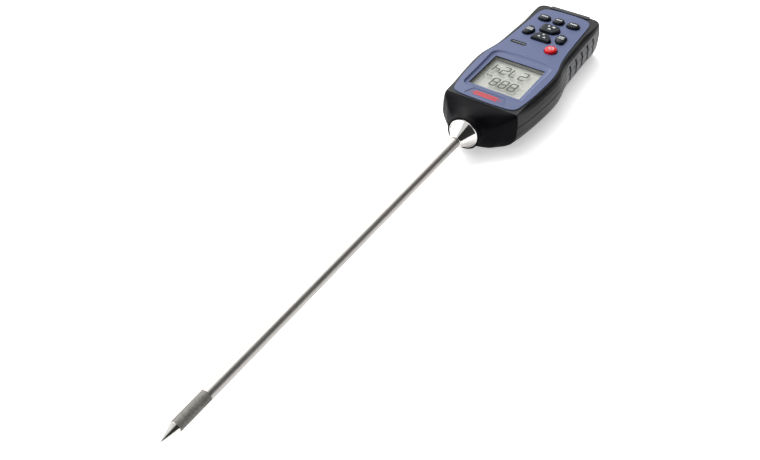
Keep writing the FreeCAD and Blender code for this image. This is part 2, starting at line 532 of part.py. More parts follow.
rim = rim.cut(stack([(3.3, 4.2, 0.6)] + RIM[1:-1] + [(26.6, 1.8, 0.06)], WALL + 1.5, CASE_FRONT - 4))
rim = rim.common(box(-60, 60, CASE_FRONT - 1.5, CASE_FRONT + 3.0, 3.4, 26.5))
for x, y in SCREWS:
    rim = rim.cut(cyl_z(BOSS_R + 1.2, 0, 40, x, y))
cap_body = cap.fuse(rim)
save("front_cap", Part.makeCompound([max(cap_body.removeSplitter().Solids, key=lambda s: s.Volume)]))

# ---- probe -----------------------------------------------------------------------------------------------
tube = cyl_y(PROBE_R, -TUBE_LEN, -SHOULDER).fuse(cyl_y(NECK_R, -SHOULDER, 29.5))
tube = tube.cut(cyl_y(TUBE_BORE, -TUBE_LEN - 1, 30.5)).removeSplitter()
save("probe_tube", tube)
carrier = cyl_y(TUBE_BORE, -TUBE_LEN, -TUBE_LEN + 14.0)
carrier = carrier.fuse(cyl_y(2.95, -TUBE_LEN - 4.0, -TUBE_LEN)).cut(box(-1.75, 1.75, -TUBE_LEN - 5, -TUBE_LEN + 6.0, ZA - 0.5, ZA + 0.5))
carrier = carrier.cut(cyl_y(1.2, -TUBE_LEN + 8.0, -TUBE_LEN + 20.0))
save("sensor_carrier", carrier)
save("sensor_board", box(-1.7, 1.7, -TUBE_LEN - 19.0, -TUBE_LEN + 5.8, ZA - 0.45, ZA + 0.45))
save("sensor_element", box(-1.25, 1.25, -TUBE_LEN - 18.0, -TUBE_LEN - 15.0, ZA + 0.45, ZA + 1.35))
save("sensor_lead", cyl_y(1.15, -TUBE_LEN + 8.1, 61.9))
filt = cyl_y(FILTER_R, -TUBE_LEN - FILTER_LEN, -TUBE_LEN - 0.1).cut(cyl_y(3.0, -TUBE_LEN - FILTER_LEN - 1, -TUBE_LEN + 1))
save("sintered_filter", filt)
tip0 = -TUBE_LEN - FILTER_LEN
tip = cone_y(0.35, FILTER_R, tip0 - TIP_LEN, tip0).fuse(cyl_y(3.0, tip0, tip0 + 3.0))
save("probe_tip", tip.removeSplitter())

# ---- overall ------------------------------------------------------------------------------------------------
allb = Part.makeCompound(list(NODES.values())).BoundBox
print("nodes", len(NODES), "box x %.3f %.3f y %.3f %.3f z %.3f %.3f" % (
    allb.XMin, allb.XMax, allb.YMin, allb.YMax, allb.ZMin, allb.ZMax))
for n, s in NODES.items():
    print("%-18s solids %d vol %.1f" % (n, len(s.Solids), s.Volume))
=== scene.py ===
import bpy
import bmesh
import math
import numpy as np
from mathutils import Vector, Matrix


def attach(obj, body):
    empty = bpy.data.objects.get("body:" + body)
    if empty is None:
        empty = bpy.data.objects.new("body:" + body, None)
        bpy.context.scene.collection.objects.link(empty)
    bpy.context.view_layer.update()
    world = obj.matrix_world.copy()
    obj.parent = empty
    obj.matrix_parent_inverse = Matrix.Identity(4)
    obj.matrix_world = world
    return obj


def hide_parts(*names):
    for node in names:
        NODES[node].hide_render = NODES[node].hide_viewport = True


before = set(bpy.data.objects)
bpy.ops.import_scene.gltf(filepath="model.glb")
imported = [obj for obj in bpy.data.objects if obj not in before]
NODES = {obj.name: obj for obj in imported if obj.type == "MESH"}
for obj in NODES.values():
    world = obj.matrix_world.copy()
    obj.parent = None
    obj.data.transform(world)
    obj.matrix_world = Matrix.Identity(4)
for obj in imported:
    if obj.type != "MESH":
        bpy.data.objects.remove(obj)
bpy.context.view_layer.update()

MM = 0.001
YS = 52.35          # datum (ferrule's small end) in the row frame, mm
ZA = 17.5           # probe axis height, mm


def srgb(r, g, b):
    """sRGB 0-255 to linear."""
    out = []
    for c in (r, g, b):
        c = c / 255.0
        out.append(c / 12.92 if c <= 0.04045 else ((c + 0.055) / 1.055) ** 2.4)
    return tuple(out)


# ------------------------------------------------------------------ mesh helpers
def make(name, verts, faces, mat, body="case", sharp=32.0, smooth=True, replaces=None):
    """A mesh object from points in millimetres (y counted from the datum)."""
    me = bpy.data.meshes.new(name)
    v = np.asarray(verts, float)
    v = v.copy()
    v[:, 1] += YS
    me.from_pydata((v * MM).tolist(), [], [tuple(int(i) for i in f) for f in faces])
    me.validate()
    bm = bmesh.new()
    bm.from_mesh(me)
    bmesh.ops.remove_doubles(bm, verts=bm.verts, dist=2e-6)
    bmesh.ops.dissolve_degenerate(bm, edges=bm.edges, dist=1e-6)
    bmesh.ops.recalc_face_normals(bm, faces=bm.faces)
    bm.to_mesh(me)
    bm.free()
    ob = bpy.data.objects.new(name, me)
    bpy.context.scene.collection.objects.link(ob)
    finish_mesh(ob, mat, sharp, smooth)
    place(ob, body, replaces)
    return ob


def finish_mesh(ob, mat, sharp=32.0, smooth=True):
    me = ob.data
    me.materials.clear()
    if isinstance(mat, (list, tuple)):
        for m in mat:
            me.materials.append(m)
    else:
        me.materials.append(mat)
    if smooth:
        me.polygons.foreach_set("use_smooth", [True] * len(me.polygons))
        me.set_sharp_from_angle(angle=math.radians(sharp))
    me.update()


def place(ob, body, replaces=None):
    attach(ob, body)
    if replaces:
        if isinstance(replaces, str):
            replaces = [replaces]
        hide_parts(*replaces)


def grid_faces(nu, nv, cu=False, cv=False, off=0):
    out = []
    for i in range(nu if cu else nu - 1):
        for j in range(nv if cv else nv - 1):
            a = i * nv + j
            b = i * nv + (j + 1) % nv
            c = ((i + 1) % nu) * nv + (j + 1) % nv
            d = ((i + 1) % nu) * nv + j
            out.append((off + a, off + b, off + c, off + d))
    return out


def revolve_y(profile, n=96):
    """Closed ring from a closed (r, y) profile about the probe axis; r=0 points are merged."""
    vs = []
    for i in range(n):
        t = 2 * math.pi * i / n
        for r, y in profile:
            vs.append((r * math.cos(t), y, ZA + r * math.sin(t)))
    return vs, grid_faces(n, len(profile), True, True)


def catmull(pts, per=8, closed=False):
    """Centripetal-like smooth curve through points (uniform Catmull-Rom in chord space)."""
    P = [np.array(p, float) for p in pts]
    n = len(P)
    out = []
    rng = n if closed else n - 1
    for i in range(rng):
        p1 = P[i]
        p2 = P[(i + 1) % n]
        p0 = P[i - 1] if (closed or i > 0) else p1 * 2 - p2
        p3 = P[(i + 2) % n] if (closed or i + 2 < n) else p2 * 2 - p1
        t0 = 0.0
        t1 = t0 + max(1e-9, np.linalg.norm(p1 - p0)) ** 0.5
        t2 = t1 + max(1e-9, np.linalg.norm(p2 - p1)) ** 0.5
        t3 = t2 + max(1e-9, np.linalg.norm(p3 - p2)) ** 0.5
        for k in range(per):
            t = t1 + (t2 - t1) * k / per
            A1 = p0 * (t1 - t) / (t1 - t0) + p1 * (t - t0) / (t1 - t0)
            A2 = p1 * (t2 - t) / (t2 - t1) + p2 * (t - t1) / (t2 - t1)
            A3 = p2 * (t3 - t) / (t3 - t2) + p3 * (t - t2) / (t3 - t2)
            B1 = A1 * (t2 - t) / (t2 - t0) + A2 * (t - t0) / (t2 - t0)
            B2 = A2 * (t3 - t) / (t3 - t1) + A3 * (t - t1) / (t3 - t1)
            out.append(B1 * (t2 - t) / (t2 - t1) + B2 * (t - t1) / (t2 - t1))
    if not closed:
        out.append(P[-1])
    return np.array(out)


# ------------------------------------------------------------------ materials
class N:
    """Small builder for node materials."""

    def __init__(self, name):
        m = bpy.data.materials.new(name)
        m.use_nodes = True
        self.m = m
        self.t = m.node_tree
        self.t.nodes.clear()
        self.out = self.t.nodes.new("ShaderNodeOutputMaterial")
        self.b = self.t.nodes.new("ShaderNodeBsdfPrincipled")
        self.t.links.new(self.b.outputs[0], self.out.inputs[0])
        self.co = self.t.nodes.new("ShaderNodeTexCoord")

    def node(self, kind, **kw):
        n = self.t.nodes.new(kind)
        for k, v in kw.items():
            setattr(n, k, v)
        return n

    def link(self, a, b):
        self.t.links.new(a, b)

    def coords(self, scale=(1, 1, 1), loc=(0, 0, 0)):
        mp = self.node("ShaderNodeMapping")
        mp.inputs["Scale"].default_value = scale
        mp.inputs["Location"].default_value = loc
        self.link(self.co.outputs["Object"], mp.inputs["Vector"])
        return mp.outputs[0]

    def noise(self, scale, detail=3.0, rough=0.55, vec=None, dist=0.0):
        n = self.node("ShaderNodeTexNoise")
        n.inputs["Scale"].default_value = scale
        n.inputs["Detail"].default_value = detail
        n.inputs["Roughness"].default_value = rough
        n.inputs["Distortion"].default_value = dist
        self.link(vec if vec is not None else self.co.outputs["Object"], n.inputs["Vector"])
        return n

    def ramp(self, fac, stops):
        r = self.node("ShaderNodeValToRGB")
        els = r.color_ramp.elements
        while len(els) < len(stops):
            els.new(0.5)
        for e, (p, c) in zip(els, stops):
            e.position = p
            e.color = tuple(c) + (1.0,) if len(c) == 3 else c
        self.link(fac, r.inputs[0])
        return r

    def rng(self, fac, a0, a1, b0, b1):
        r = self.node("ShaderNodeMapRange")
        r.inputs[1].default_value = a0
        r.inputs[2].default_value = a1
        r.inputs[3].default_value = b0
        r.inputs[4].default_value = b1
        self.link(fac, r.inputs[0])
        return r.outputs[0]

    def math(self, op, a, b=None, clamp=False):
        n = self.node("ShaderNodeMath", operation=op)
        n.use_clamp = clamp
        for i, v in enumerate((a, b)):
            if v is None:
                continue
            if isinstance(v, (int, float)):
                n.inputs[i].default_value = v
            else:
                self.link(v, n.inputs[i])
        return n.outputs[0]

    def mix(self, fac, a, b, mode="MIX"):
        n = self.node("ShaderNodeMix", data_type="RGBA")
        n.blend_type = mode
        for sock, v in ((n.inputs[0], fac), (n.inputs[6], a), (n.inputs[7], b)):
            if isinstance(v, (int, float)):
                sock.default_value = v
            elif isinstance(v, tuple):
                sock.default_value = v + (1.0,) if len(v) == 3 else v
            else:
                self.link(v, sock)
        return n.outputs[2]

    def bump(self, height, strength, dist, prev=None):
        n = self.node("ShaderNodeBump")
        n.inputs["Strength"].default_value = strength
        n.inputs["Distance"].default_value = dist
        self.link(height, n.inputs["Height"])
        if prev is not None:
            self.link(prev, n.inputs["Normal"])
        return n.outputs[0]

    def done(self, color=None, rough=None, normal=None, metallic=0.0, spec=None, coat=None, coat_rough=None,
             ior=None, sheen=None, trans=None, alpha=None):
        b = self.b
        if isinstance(color, tuple):
            b.inputs["Base Color"].default_value = color + (1.0,)
        elif color is not None:
            self.link(color, b.inputs["Base Color"])
        if isinstance(rough, (int, float)):
            b.inputs["Roughness"].default_value = rough
        elif rough is not None:
            self.link(rough, b.inputs["Roughness"])
        if normal is not None:
            self.link(normal, b.inputs["Normal"])
        b.inputs["Metallic"].default_value = metallic
        if spec is not None:
            b.inputs["Specular IOR Level"].default_value = spec
        if coat is not None:
            b.inputs["Coat Weight"].default_value = coat
        if coat_rough is not None:
            b.inputs["Coat Roughness"].default_value = coat_rough
        if ior is not None:
            b.inputs["IOR"].default_value = ior
        if sheen is not None:
            b.inputs["Sheen Weight"].default_value = sheen
        if trans is not None:
            b.inputs["Transmission Weight"].default_value = trans
        if alpha is not None:
            b.inputs["Alpha"].default_value = alpha
        return self.m


def plastic(name, color, rough=0.45, grain=1400.0, depth=0.00003, strength=0.35, vary=0.12, spec=0.5,
            blotch=60.0, coat=None, coat_rough=None):
    """Moulded plastic: fine spark-eroded grain, slow tone drift, uneven gloss."""
    k = N(name)
    fine = k.noise(grain, 2.0, 0.6)
    slow = k.noise(blotch, 4.0, 0.6)
    dark = tuple(c * (1 - vary) for c in color)
    light = tuple(min(1.0, c * (1 + vary)) for c in color)
    col = k.ramp(slow.outputs[0], [(0.32, dark), (0.68, light)])
    speck = k.mix(k.rng(fine.outputs[0], 0.35, 0.65, 0.0, 0.35), col.outputs[0], tuple(c * 0.75 for c in color))
    r = k.rng(slow.outputs[0], 0.3, 0.7, rough - 0.05, rough + 0.05)
    nrm = k.bump(fine.outputs[0], strength, depth)
    return k.done(speck, r, nrm, spec=spec, coat=coat, coat_rough=coat_rough)


def metal(name, color, rough, axis="y", brush=0.0, fine=0.00001, smudge=0.04, dark=0.85):
    """Turned or drawn metal: hairlines along or round the axis, faint smudges."""
    k = N(name)
    if axis == "y":
        v = k.coords((2600, 14, 2600))
    elif axis == "round":
        v = k.coords((8, 5200, 8))
    else:
        v = k.coords((900, 900, 900))
    hair = k.noise(1.0, 3.0, 0.6, vec=v)
    smud = k.noise(38.0, 4.0, 0.6)
    col = k.ramp(hair.outputs[0], [(0.25, tuple(c * dark for c in color)), (0.75, color)])
    r = k.math("ADD", k.rng(hair.outputs[0], 0.3, 0.7, rough - brush, rough + brush),
               k.rng(smud.outputs[0], 0.35, 0.7, 0.0, smudge))
    nrm = k.bump(hair.outputs[0], 0.25, fine)
    return k.done(col.outputs[0], r, nrm, metallic=1.0)


M = {}


def case_plastic(name, color, rough, grain, depth, strength, lines=True, spec=0.2):
    """Black moulding: grain, slow tone drift and the thin shadow lines of its joints."""
    k = N(name)
    fine = k.noise(grain, 2.0, 0.6)
    slow = k.noise(55.0, 4.0, 0.6)
    dark = tuple(c * 0.86 for c in color)
    light = tuple(c * 1.16 for c in color)
    col = k.ramp(slow.outputs[0], [(0.32, dark), (0.68, light)]).outputs[0]
    col = k.mix(k.rng(fine.outputs[0], 0.35, 0.65, 0.0, 0.35), col, tuple(c * 0.7 for c in color))
    h = fine.outputs[0]
    nrm = k.bump(h, strength, depth)
    if lines:
        sep = k.node("ShaderNodeSeparateXYZ")
        k.link(k.co.outputs["Object"], sep.inputs[0])
        dz = k.math("ABSOLUTE", k.math("SUBTRACT", sep.outputs[2], SEAM * MM))
        dy = k.math("ABSOLUTE", k.math("SUBTRACT", sep.outputs[1], (JOINT_Y + YS) * MM))
        behind = k.math("GREATER_THAN", sep.outputs[1], (JOINT_Y + YS - 0.2) * MM)
        mz = k.math("MULTIPLY", k.rng(dz, 0.00030, 0.00052, 1.0, 0.0), behind)
        my = k.rng(dy, 0.00030, 0.00055, 1.0, 0.0)
        ln = k.math("MAXIMUM", mz, my, clamp=True)
        col = k.mix(ln, col, (0.0008, 0.0008, 0.0009))
        nrm = k.bump(k.math("SUBTRACT", 1.0, ln), 0.9, 0.0003, prev=nrm)
        r = k.math("ADD", k.rng(slow.outputs[0], 0.3, 0.7, rough - 0.05, rough + 0.05), k.math("MULTIPLY", ln, 0.4))
    else:
        r = k.rng(slow.outputs[0], 0.3, 0.7, rough - 0.05, rough + 0.05)
    return k.done(col, r, nrm, spec=spec)


SEAM = 19.5
JOINT_Y = 37.0
M["case"] = case_plastic("case_black_grain", srgb(22, 23, 26), 0.42, 1500, 0.00003, 0.35)
M["cap"] = case_plastic("cap_black_grain", srgb(13, 13, 16), 0.48, 1500, 0.00003, 0.35, spec=0.04)


def grip_material():
    """Soft-touch grey with painted shade in the grooves; a dash of the parting line runs forward from each."""
    k = N("grip_soft_touch")
    fine = k.noise(1100.0, 2.0, 0.6)
    slow = k.noise(60.0, 4.0, 0.6)
    col = k.ramp(slow.outputs[0], [(0.32, srgb(102, 103, 107)), (0.68, srgb(116, 117, 121))]).outputs[0]
    col = k.mix(k.rng(fine.outputs[0], 0.35, 0.65, 0.0, 0.35), col, srgb(98, 99, 102))
    sep = k.node("ShaderNodeSeparateXYZ")
    k.link(k.co.outputs["Object"], sep.inputs[0])
    y, z = sep.outputs[1], sep.outputs[2]
    yy = k.math("ADD", y, k.math("MULTIPLY", k.math("SUBTRACT", z, 25.0 * MM), 0.20))
    ph = k.math("SUBTRACT", yy, (125.8 + YS - 6.02) * MM)
    md = k.node("ShaderNodeMath", operation="FLOORED_MODULO")
    k.link(ph, md.inputs[0])
    md.inputs[1].default_value = 12.04 * MM
    off = k.math("SUBTRACT", md.outputs[0], 6.02 * MM)
    ad = k.math("ABSOLUTE", off)
    # groove bands, coloured near black below as painted shade inside the grooves
    band = k.rng(ad, 0.0016, 0.0020, 1.0, 0.0)
    zin = k.math("MULTIPLY", k.rng(z, 0.0080, 0.0088, 0.0, 1.0), k.rng(z, 0.0250, 0.0258, 1.0, 0.0))
    yin = k.rng(y, (119.0 + YS) * MM, (120.0 + YS) * MM, 0.0, 1.0)
    groove_shade = k.math("MULTIPLY", k.math("MULTIPLY", band, zin), yin)
    dzs = k.math("ABSOLUTE", k.math("SUBTRACT", z, 19.5 * MM))
    dash = k.math("MULTIPLY", k.rng(dzs, 0.0009, 0.0012, 1.0, 0.0),
                  k.math("MULTIPLY", k.rng(off, -0.0048, -0.0042, 0.0, 1.0), k.rng(off, 0.0022, 0.0028, 1.0, 0.0)))
    thin = k.math("MULTIPLY", k.rng(dzs, 0.00022, 0.0004, 1.0, 0.0), 0.85)
    dark = k.math("MAXIMUM", k.math("MAXIMUM", groove_shade, dash), thin, clamp=True)
    # mix to near black: painted groove shade together with the real dark parting lines
    col = k.mix(dark, col, (0.0012, 0.0012, 0.0013))
    nrm = k.bump(fine.outputs[0], 0.5, 0.00005)
    nrm = k.bump(k.math("SUBTRACT", 1.0, dark), 0.8, 0.0005, prev=nrm)
    return k.done(col, k.rng(slow.outputs[0], 0.3, 0.7, 0.52, 0.62), nrm, spec=0.35)


M["grip"] = grip_material()
M["flap"] = plastic("flap_rubber", srgb(34, 38, 42), 0.50, 900, 0.00004, 0.4, 0.12, spec=0.4)
M["plate"] = plastic("plate_blue_satin", srgb(88, 98, 134), 0.36, 1700, 0.00002, 0.25, 0.035, spec=0.22)
M["label"] = plastic("plate_label_field", srgb(84, 94, 129), 0.40, 1700, 0.00002, 0.25, 0.05, spec=0.2)
M["key"] = plastic("key_slate", srgb(20, 27, 33), 0.38, 1300, 0.00002, 0.25, 0.10, spec=0.14)
M["key_red"] = plastic("key_red_satin", srgb(206, 4, 20), 0.30, 1300, 0.00002, 0.2, 0.06, spec=0.25)
M["inlay"] = plastic("inlay_dark_gloss", srgb(16, 20, 25), 0.30, 1500, 0.00001, 0.2, 0.10, spec=0.12)
M["white_ink"] = plastic("print_white", srgb(205, 208, 210), 0.5, 900, 0.00001, 0.2, 0.03)
M["pale_ink"] = plastic("print_pale", srgb(120, 124, 128), 0.5, 900, 0.00001, 0.2, 0.03, spec=0.2)
M["red_ink"] = plastic("print_red", srgb(190, 8, 12), 0.5, 900, 0.00001, 0.2, 0.04)
M["lcd"] = plastic("lcd_reflector", srgb(80, 91, 78), 0.55, 2600, 0.00001, 0.1, 0.03, spec=0.2, blotch=25.0)
M["segment"] = plastic("lcd_segment", srgb(60, 69, 61), 0.5, 2600, 0.00001, 0.1, 0.04, spec=0.2)
M["segment_soft"] = plastic("lcd_segment_pale", srgb(72, 82, 71), 0.5, 2600, 0.00001, 0.1, 0.04, spec=0.2)
M["tube"] = metal("steel_drawn", srgb(184, 181, 177), 0.42, "y", 0.05)
M["ferrule"] = metal("steel_turned", srgb(226, 224, 221), 0.10, "round", 0.03)
M["tip"] = metal("steel_ground", srgb(218, 216, 213), 0.14, "round", 0.04)
M["screw"] = metal("steel_zinc", srgb(140, 140, 142), 0.35, "any", 0.06)
M["brass"] = metal("nut_brass_turned", srgb(196, 160, 92), 0.30, "round", 0.06)
M["usb"] = metal("usb_tinned", srgb(178, 178, 180), 0.32, "any", 0.05)
M["dome"] = metal("dome_steel", srgb(190, 190, 190), 0.25, "any", 0.05)
M["film"] = metal("sensor_gold", srgb(206, 176, 104), 0.35, "any", 0.05)
M["board"] = plastic("board_mask", srgb(18, 74, 44), 0.38, 700, 0.00003, 0.4, 0.15, blotch=160.0)
M["chip"] = plastic("chip_epoxy", srgb(26, 26, 28), 0.55, 900, 0.00002, 0.3, 0.12)
M["bay"] = plastic("bay_black", srgb(28, 28, 31), 0.55, 900, 0.00003, 0.3, 0.12)
M["white_part"] = plastic("frame_white", srgb(198, 198, 192), 0.50, 800, 0.00002, 0.3, 0.05)
M["elastomer"] = plastic("elastomer_grey", srgb(96, 92, 100), 0.65, 600, 0.00003, 0.3, 0.10)
M["mat"] = plastic("key_mat_silicone", srgb(62, 66, 72), 0.60, 600, 0.00003, 0.3, 0.10)
M["connector"] = plastic("connector_nylon", srgb(188, 184, 170), 0.50, 800, 0.00002, 0.3, 0.05)
M["battery"] = plastic("battery_wrap", srgb(44, 64, 118), 0.30, 500, 0.00002, 0.2, 0.08)
M["seal"] = plastic("seal_rubber", srgb(24, 24, 26), 0.55, 700, 0.00003, 0.3, 0.12)
M["carrier"] = plastic("carrier_plastic", srgb(60, 62, 66), 0.50, 800, 0.00002, 0.3, 0.10)
M["lead"] = plastic("lead_sheath", srgb(86, 88, 92), 0.50, 800, 0.00002, 0.3, 0.08)


def lens_material():
    k = N("lens_clear_acrylic")
    n = k.noise(60.0, 3.0)
    k.done(k.ramp(n.outputs[0], [(0.3, (0.42, 0.45, 0.40)), (0.7, (0.46, 0.49, 0.44))]).outputs[0],
           k.rng(n.outputs[0], 0.3, 0.7, 0.04, 0.08), None, spec=0.3, alpha=0.10)
    return k.m


M["lens"] = lens_material()


def sintered():
    """Grey powder-metal cap: packed grains, with painted shade darkening the pores between them."""
    k = N("sintered_grey")
    v = k.node("ShaderNodeTexVoronoi")
    v.inputs["Scale"].default_value = 2600.0
    k.link(k.co.outputs["Object"], v.inputs["Vector"])
    n = k.noise(900.0, 4.0, 0.7)
    s = k.noise(70.0, 3.0)
    # cell edges darker than cell centres: painted shade in the pores between the grains
    col = k.ramp(v.outputs["Distance"], [(0.08, srgb(168, 166, 160)), (0.40, srgb(138, 136, 131)), (0.80, srgb(78, 76, 74))]).outputs[0]
    col = k.mix(k.rng(n.outputs[0], 0.35, 0.7, 0.0, 0.3), col, srgb(112, 110, 107))
    col = k.mix(k.rng(s.outputs[0], 0.4, 0.7, 0.0, 0.25), col, srgb(176, 172, 166))
    h = k.math("SUBTRACT", 1.0, v.outputs["Distance"])
    nrm = k.bump(h, 0.8, 0.00014)
    nrm = k.bump(n.outputs[0], 0.5, 0.0001, prev=nrm)
    return k.done(col, k.rng(n.outputs[0], 0.3, 0.7, 0.55, 0.75), nrm, metallic=0.55)


M["filter"] = sintered()

# ------------------------------------------------------------------ camera
cam_data = bpy.data.cameras.new("camera")
cam = bpy.data.objects.new("camera", cam_data)
bpy.context.scene.collection.objects.link(cam)
F_PX = 887.833
YAW, PITCH, ROLL = 0.58158, 0.75059, -0.00152
cam_data.sensor_width = 36.0
cam_data.lens = F_PX / 760.0 * 36.0
cam_data.clip_start = 0.02
cam_data.clip_end = 50.0
fw = Vector((-math.sin(YAW) * math.cos(PITCH), math.cos(YAW) * math.cos(PITCH), -math.sin(PITCH)))
rt = Vector((math.cos(YAW), math.sin(YAW), 0.0))
up = rt.cross(fw)
rot = Matrix((rt, up, -fw)).transposed().to_4x4()
cam.matrix_world = Matrix.Translation(Vector((0.234563, -0.401377, 0.405424))) @ rot @ Matrix.Rotation(-ROLL, 4, 'Z')
bpy.context.scene.camera = cam

# ------------------------------------------------------------------ stage
def stage_floor():
    me = bpy.data.meshes.new("floor")
    s = 3.0
    me.from_pydata([(-s, -s, -0.0002), (s, -s, -0.0002), (s, s, -0.0002), (-s, s, -0.0002)], [], [(0, 1, 2, 3)])
    ob = bpy.data.objects.new("floor", me)
    bpy.context.scene.collection.objects.link(ob)
    k = N("floor_white")
    n = k.noise(2.0, 2.0)
    m = k.done(k.ramp(n.outputs[0], [(0.3, (0.93, 0.93, 0.93)), (0.7, (0.95, 0.95, 0.95))]).outputs[0], 0.9, spec=0.1)
    k.b.inputs["Emission Color"].default_value = (1, 1, 1, 1)
    k.b.inputs["Emission Strength"].default_value = 0.50
    me.materials.append(m)
    return ob


floor = stage_floor()


def area(name, loc, target, size, power, color=(1, 1, 1), size_y=None):
    d = bpy.data.lights.new(name, "AREA")
    d.energy = power
    d.color = color
    d.shape = "RECTANGLE"
    d.size = size
    d.size_y = size_y or size
    o = bpy.data.objects.new(name, d)
    bpy.context.scene.collection.objects.link(o)
    o.location = loc
    o.rotation_euler = (Vector(target) - Vector(loc)).to_track_quat("-Z", "Y").to_euler()
    return o


area("key_light", (-1.3, 0.7, 1.5), (0, 0, 0), 2.4, 62.0)
world = bpy.data.worlds.new("world")
bpy.context.scene.world = world
world.use_nodes = True
wt = world.node_tree


def wnode(kind, op=None):
    n = wt.nodes.new(kind)
    if op:
        n.operation = op
    return n


def wmath(op, a, b=None):
    n = wnode("ShaderNodeMath", op)
    for i, v in enumerate((a, b)):
        if v is None:
            continue
        if isinstance(v, (int, float)):
            n.inputs[i].default_value = v
        else:
            wt.links.new(v, n.inputs[i])
    return n.outputs[0]


def wrange(x, a0, a1, b0, b1):
    n = wnode("ShaderNodeMapRange")
    n.interpolation_type = "SMOOTHSTEP"
    for i, v in enumerate((a0, a1, b0, b1)):
        n.inputs[i + 1].default_value = v
    wt.links.new(x, n.inputs[0])
    return n.outputs[0]


wc = wnode("ShaderNodeTexCoord")
wsep = wnode("ShaderNodeSeparateXYZ")
wt.links.new(wc.outputs["Generated"], wsep.inputs[0])
# pale surroundings, dimmer overhead, a dark wall low on the right
over = wrange(wsep.outputs[2], 0.35, 0.95, 1.15, 0.85)
wall = wrange(wmath("SUBTRACT", wsep.outputs[0], wmath("MULTIPLY", wsep.outputs[2], 0.20)), 0.0, 0.09, 1.0, 0.035)
wt.links.new(wmath("MULTIPLY", over, wall), wt.nodes["Background"].inputs[1])
wt.nodes["Background"].inputs[0].default_value = (1, 1, 1, 1)
vs = bpy.context.scene.view_settings
vs.view_transform = "Standard"
vs.look = "None"
vs.exposure = 0.0
vs.gamma = 1.0

# ------------------------------------------------------------------ plan-view sheets
def arr(pts):
    return np.array([(p[0], p[1]) for p in pts], float)


def mirror(pts):
    """Right half (front to rear) to a closed outline."""
    left = [(-x, y) for x, y in reversed(pts) if x > 1e-6]
    return list(pts) + left


def rounded(poly, r, n=6):
    """Closed polygon with every corner rounded by r."""
    P = [np.array(p, float) for p in poly]
    out = []
    m = len(P)
    for i in range(m):
        a, b, c = P[i - 1], P[i], P[(i + 1) % m]
        u = (a - b) / np.linalg.norm(a - b)
        w = (c - b) / np.linalg.norm(c - b)
        ang = math.acos(max(-1, min(1, float(u @ w))))
        d = min(r / math.tan(ang / 2), 0.45 * np.linalg.norm(a - b), 0.45 * np.linalg.norm(c - b))
        p0, p1 = b + u * d, b + w * d
        for k in range(n + 1):
            t = k / n
            q = (1 - t) ** 2 * p0 + 2 * t * (1 - t) * (b * 0.86 + (p0 + p1) * 0.07) + t * t * p1
            out.append(q)
    return np.array(out)


def area2(p):
    x, y = p[:, 0], p[:, 1]
    return 0.5 * float(np.sum(x * np.roll(y, -1) - y * np.roll(x, -1)))


def inset(p, d):
    """Closed outline moved inwards by d along its own normals."""
    p = np.asarray(p, float)
    if area2(p) < 0:
        p = p[::-1]
    t = np.roll(p, -1, axis=0) - np.roll(p, 1, axis=0)
    t /= np.maximum(1e-9, np.linalg.norm(t, axis=1))[:, None]
    nrm = np.stack([-t[:, 1], t[:, 0]], axis=1)
    return p + nrm * d


def resample(p, n):
    p = np.asarray(p, float)
    q = np.vstack([p, p[:1]])
    s = np.concatenate([[0], np.cumsum(np.linalg.norm(np.diff(q, axis=0), axis=1))])
    t = np.linspace(0, s[-1], n, endpoint=False)
    return np.stack([np.interp(t, s, q[:, 0]), np.interp(t, s, q[:, 1])], axis=1)


def sheet(name, loops, z0, z1, bevel, mat, body="case", replaces=None, res=3):
    """Flat part with holes and softened edges; loops in mm, first one outside."""
    cu = bpy.data.curves.new(name, "CURVE")
    cu.dimensions = "2D"
    cu.fill_mode = "BOTH"
    cu.extrude = ((z1 - z0) / 2 - bevel) * MM
    cu.bevel_depth = bevel * MM
    cu.bevel_resolution = res
    cu.offset = -bevel * MM
    for lp in loops:
        sp = cu.splines.new("POLY")
        sp.points.add(len(lp) - 1)
        for q, (x, y) in zip(sp.points, lp):
            q.co = (x * MM, (y + YS) * MM, 0.0, 1.0)
        sp.use_cyclic_u = True
    ob = bpy.data.objects.new(name + "_curve", cu)
    bpy.context.scene.collection.objects.link(ob)
    bpy.context.view_layer.update()
    me = bpy.data.meshes.new_from_object(ob)
    me.name = name
    bpy.data.objects.remove(ob)
    bpy.data.curves.remove(cu)
    bm = bmesh.new()
    bm.from_mesh(me)
    bmesh.ops.translate(bm, verts=bm.verts, vec=(0, 0, (z0 + z1) / 2 * MM))
    bmesh.ops.remove_doubles(bm, verts=bm.verts, dist=1e-6)
    bmesh.ops.dissolve_degenerate(bm, edges=bm.edges, dist=1e-7)
    bmesh.ops.recalc_face_normals(bm, faces=bm.faces)
    bm.to_mesh(me)
    bm.free()
    o = bpy.data.objects.new(name, me)
    bpy.context.scene.collection.objects.link(o)
    finish_mesh(o, mat, 50.0)
    weighted(o)
    place(o, body, replaces)
    return o


def weighted(o):
    w = o.modifiers.new("even_normals", "WEIGHTED_NORMAL")
    w.mode = "FACE_AREA"
    w.weight = 90
    w.keep_sharp = True


def loft(name, rings, mat, body="case", replaces=None, sharp=40.0, cap0=True, cap1=True, centre1=None, wn=False):
    """Stack of closed rings with equal counts; ends closed by a fan."""
    n = len(rings[0])
    v = [tuple(p) for r in rings for p in r]
    f = []
    for i in range(len(rings) - 1):
        for j in range(n):
            a, b = i * n + j, i * n + (j + 1) % n
            f.append((a, b, b + n, a + n))
    if cap0:
        c = np.mean(np.array(rings[0]), axis=0)
        v.append(tuple(c))
        k = len(v) - 1
        f += [((j + 1) % n, j, k) for j in range(n)]
    if cap1:
        c = np.mean(np.array(rings[-1]), axis=0) if centre1 is None else centre1
        v.append(tuple(c))
        k = len(v) - 1
        o = (len(rings) - 1) * n
        f += [(o + j, o + (j + 1) % n, k) for j in range(n)]
    ob = make(name, v, f, mat, body, sharp, True, replaces)
    if wn:
        weighted(ob)
    return ob


def lift(p, z):
    return [(float(x), float(y), z) for x, y in p]


